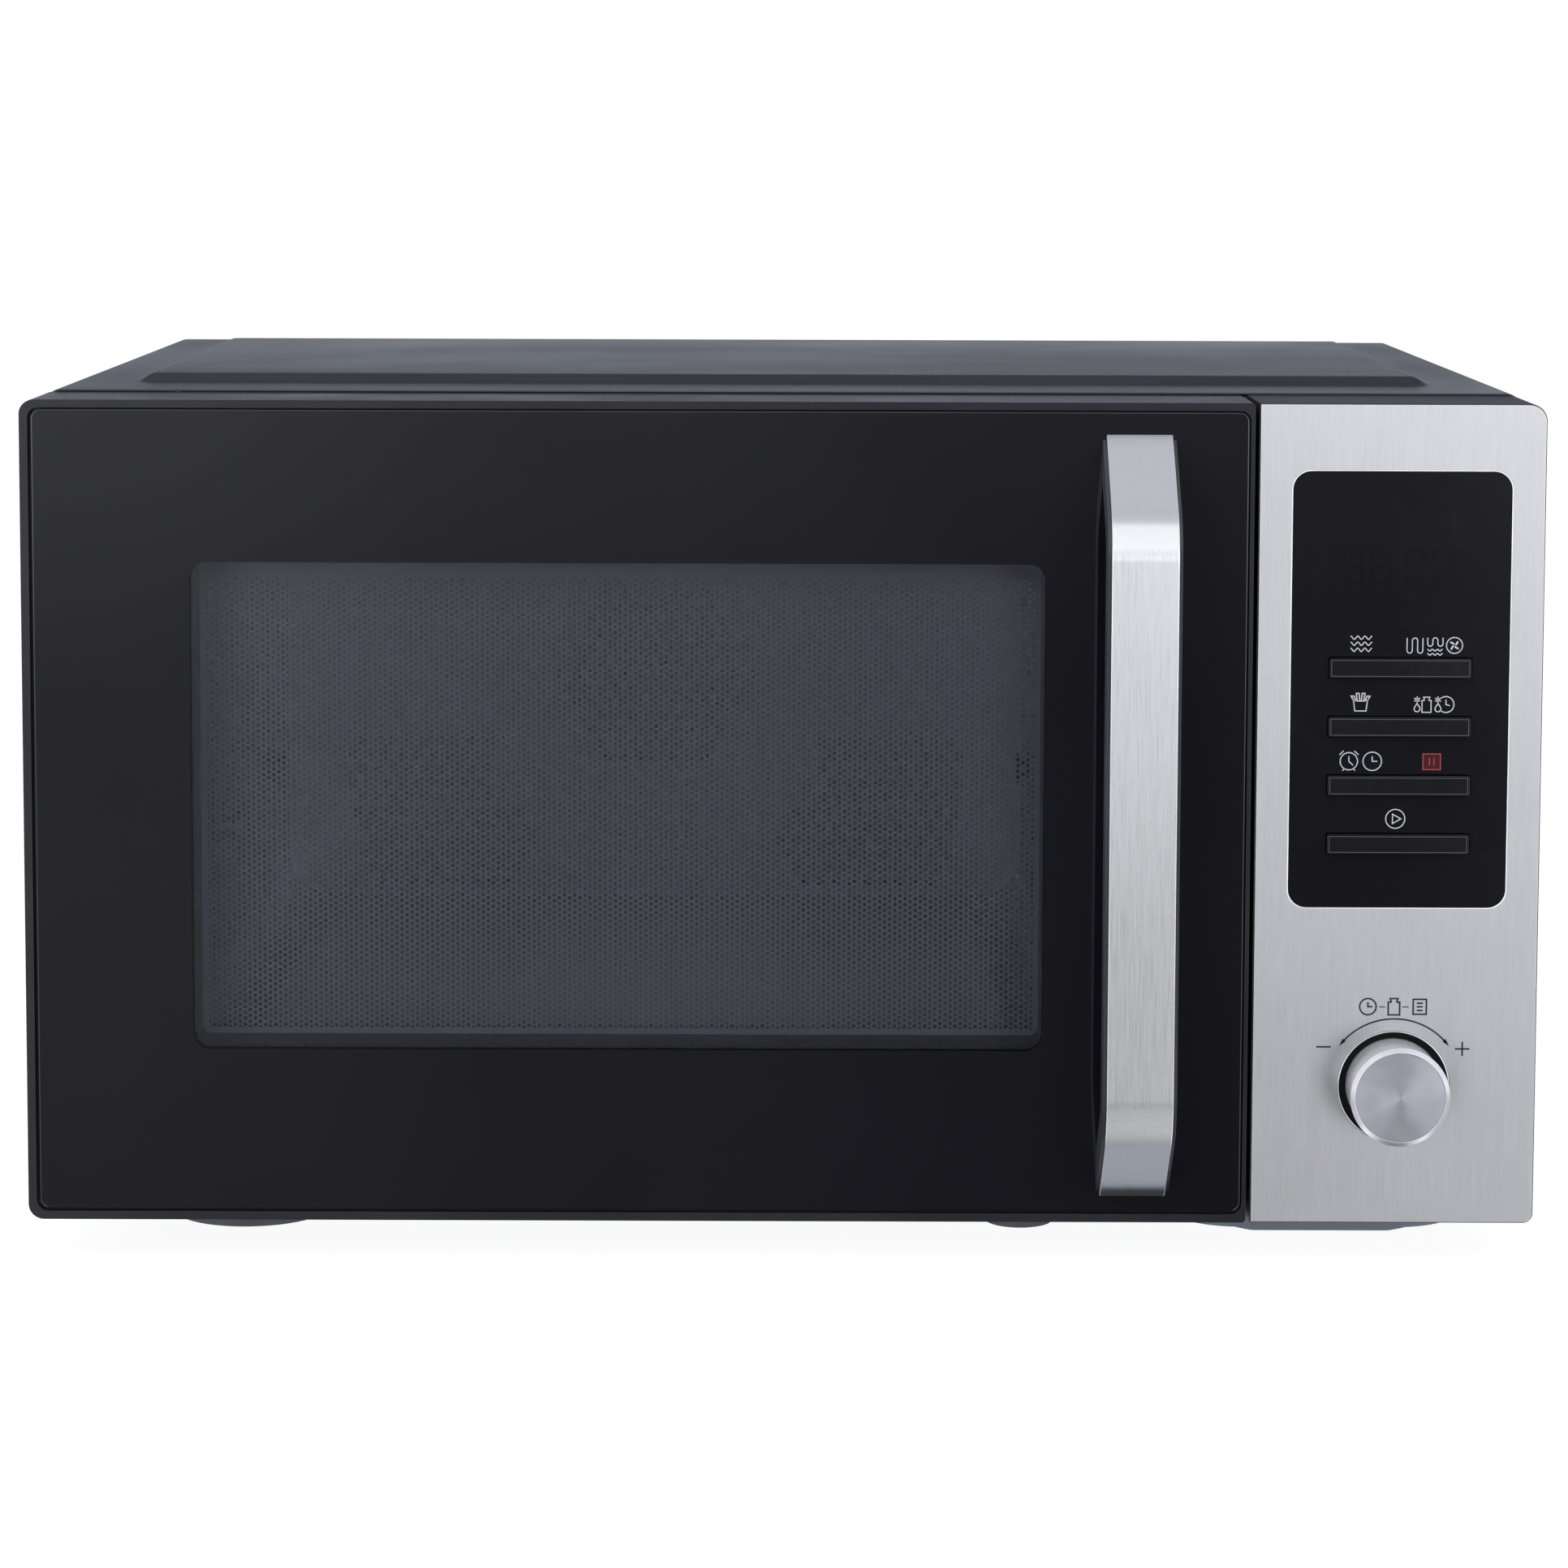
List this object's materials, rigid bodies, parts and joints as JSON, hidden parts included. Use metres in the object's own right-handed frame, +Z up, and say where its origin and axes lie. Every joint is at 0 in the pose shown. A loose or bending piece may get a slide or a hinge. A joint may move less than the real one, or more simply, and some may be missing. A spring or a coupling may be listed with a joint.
{
  "type": "microwave oven",
  "caption": "Freestanding combination microwave oven with a side-hinged glass door, strap handle, turning knob, rocking bar keys, flat ceramic floor, grill and hot-air fan.",
  "frame": {"origin": "centre of the footprint, on the surface the feet stand on", "axes": "+X to the right seen from the front, +Y towards the back, +Z up"},
  "size_m": [0.539, 0.443, 0.3125],
  "materials": {
    "casing_black": "satin textured black paint",
    "frame_steel": "black painted steel",
    "base_grey": "grey coated sheet",
    "foot_grey": "moulded grey plastic",
    "zinc_steel": "zinc coated sheet",
    "screw_steel": "nickel plated",
    "gland_black": "moulded black plastic",
    "cavity_steel": "stainless cavity steel",
    "ceramic": "glazed ceramic plate",
    "silicone": "silicone bead",
    "heater": "sheathed heater tube",
    "aluminium": "bare aluminium",
    "motor_steel": "motor housing",
    "core_iron": "laminated core",
    "copper": "enamelled copper winding",
    "board_green": "circuit board",
    "duct_grey": "moulded duct plastic",
    "fan_white": "moulded fan blade",
    "lamp_glass": "lamp bulb",
    "latch_white": "moulded acetal",
    "door_black": "black door plastic",
    "door_glass": "tinted door glass",
    "screen_steel": "perforated screen",
    "inner_glass": "clear glass",
    "cover_black": "matt black cover",
    "strap_steel": "polished stainless strap",
    "bar_black": "black handle bar",
    "spring_steel": "spring wire",
    "panel_black": "black panel moulding",
    "fascia_steel": "brushed stainless fascia",
    "lens_black": "smoked display lens",
    "display_dark": "unlit display",
    "key_black": "black bar key",
    "bezel_chrome": "polished bevel ring",
    "knob_metal": "satin metallised knob",
    "knob_face": "spun knob face"
  },
  "bodies": {
    "oven": {"outer_casing": "casing_black", "front_frame": "frame_steel", "base_plate": "base_grey", "feet": "foot_grey", "rear_panel": "zinc_steel", "rear_fan_cover": "zinc_steel", "casing_screws": "screw_steel", "cord_inlet": "gland_black", "oven_cavity": "cavity_steel", "cavity_back": "cavity_steel", "rack_studs": "screw_steel", "ceramic_floor": "ceramic", "floor_seal": "silicone", "grill_element": "heater", "grill_clips": "zinc_steel", "stirrer_motor": "motor_steel", "waveguide": "zinc_steel", "hot_air_housing": "zinc_steel", "convection_heater": "heater", "hot_air_motor": "motor_steel", "magnetron": "aluminium", "transformer_core": "core_iron", "transformer_windings": "copper", "capacitor": "aluminium", "filter_board": "board_green", "fan_shroud": "duct_grey", "cooling_fan_motor": "motor_steel", "oven_lamp": "lamp_glass", "latch_board": "latch_white", "interlock_switches": "gland_black", "hinge_brackets": "zinc_steel", "hinge_pins": "screw_steel", "control_panel_body": "panel_black", "control_fascia": "fascia_steel", "display_lens": "lens_black", "display_module": "display_dark", "control_board": "board_green", "knob_bezel": "bezel_chrome", "encoder_body": "motor_steel"},
    "door": {"door_frame": "door_black", "door_glass": "door_glass", "door_screen": "screen_steel", "door_inner_glass": "inner_glass", "choke_cover": "cover_black", "handle_strap": "strap_steel", "handle_bar": "bar_black", "handle_screws": "screw_steel", "hinge_bushes": "latch_white", "latch_spring": "spring_steel"},
    "latch": {"latch_hooks": "latch_white"},
    "stirrer": {"mode_stirrer": "aluminium"},
    "knob": {"knob_body": "knob_metal", "knob_cap": "knob_face", "encoder_shaft": "aluminium"},
    "function_key": {"function_key": "key_black"},
    "programme_key": {"programme_key": "key_black"},
    "clock_stop_key": {"clock_stop_key": "key_black"},
    "start_key": {"start_key": "key_black"},
    "cooling_fan": {"cooling_fan_blade": "fan_white"},
    "hot_air_fan": {"hot_air_fan": "aluminium"}
  },
  "joints": [
    {"name": "door_hinge", "type": "hinge", "parent": "oven", "child": "door", "pos_m": [-0.2615, -0.1525, 0.1625], "axis": [0, 0, -1], "range_deg": [0, 105]},
    {"name": "latch_slide", "type": "slide", "parent": "door", "child": "latch", "axis": [0, 0, 1], "range_m": [0, 0.004], "stiffness_N_per_m": 300, "springref_m": -0.005, "deforming": ["latch_spring"]},
    {"name": "stirrer_spin", "type": "hinge", "parent": "oven", "child": "stirrer", "pos_m": [-0.0555, 0.01875, 0.059], "axis": [0, 0, 1], "continuous": true},
    {"name": "knob_turn", "type": "hinge", "parent": "oven", "child": "knob", "pos_m": [0.21875, -0.2, 0.0649], "axis": [0, 1, 0], "continuous": true},
    {"name": "function_key_rock", "type": "hinge", "parent": "oven", "child": "function_key", "pos_m": [0.21875, -0.1824, 0.2154], "axis": [0, 0, 1], "range_deg": [-2.5, 2.5], "stiffness_Nm_per_rad": 1},
    {"name": "programme_key_rock", "type": "hinge", "parent": "oven", "child": "programme_key", "pos_m": [0.21875, -0.1824, 0.1944], "axis": [0, 0, 1], "range_deg": [-2.5, 2.5], "stiffness_Nm_per_rad": 1},
    {"name": "clock_stop_key_rock", "type": "hinge", "parent": "oven", "child": "clock_stop_key", "pos_m": [0.21875, -0.1824, 0.1734], "axis": [0, 0, 1], "range_deg": [-2.5, 2.5], "stiffness_Nm_per_rad": 1},
    {"name": "start_key_press", "type": "slide", "parent": "oven", "child": "start_key", "axis": [0, 1, 0], "range_m": [0, 0.001], "stiffness_N_per_m": 2000},
    {"name": "cooling_fan_spin", "type": "hinge", "parent": "oven", "child": "cooling_fan", "pos_m": [0.186, 0.194, 0.225], "axis": [0, 1, 0], "continuous": true},
    {"name": "hot_air_fan_spin", "type": "hinge", "parent": "oven", "child": "hot_air_fan", "pos_m": [-0.055, 0.189, 0.1667], "axis": [0, 1, 0], "continuous": true}
  ]
}
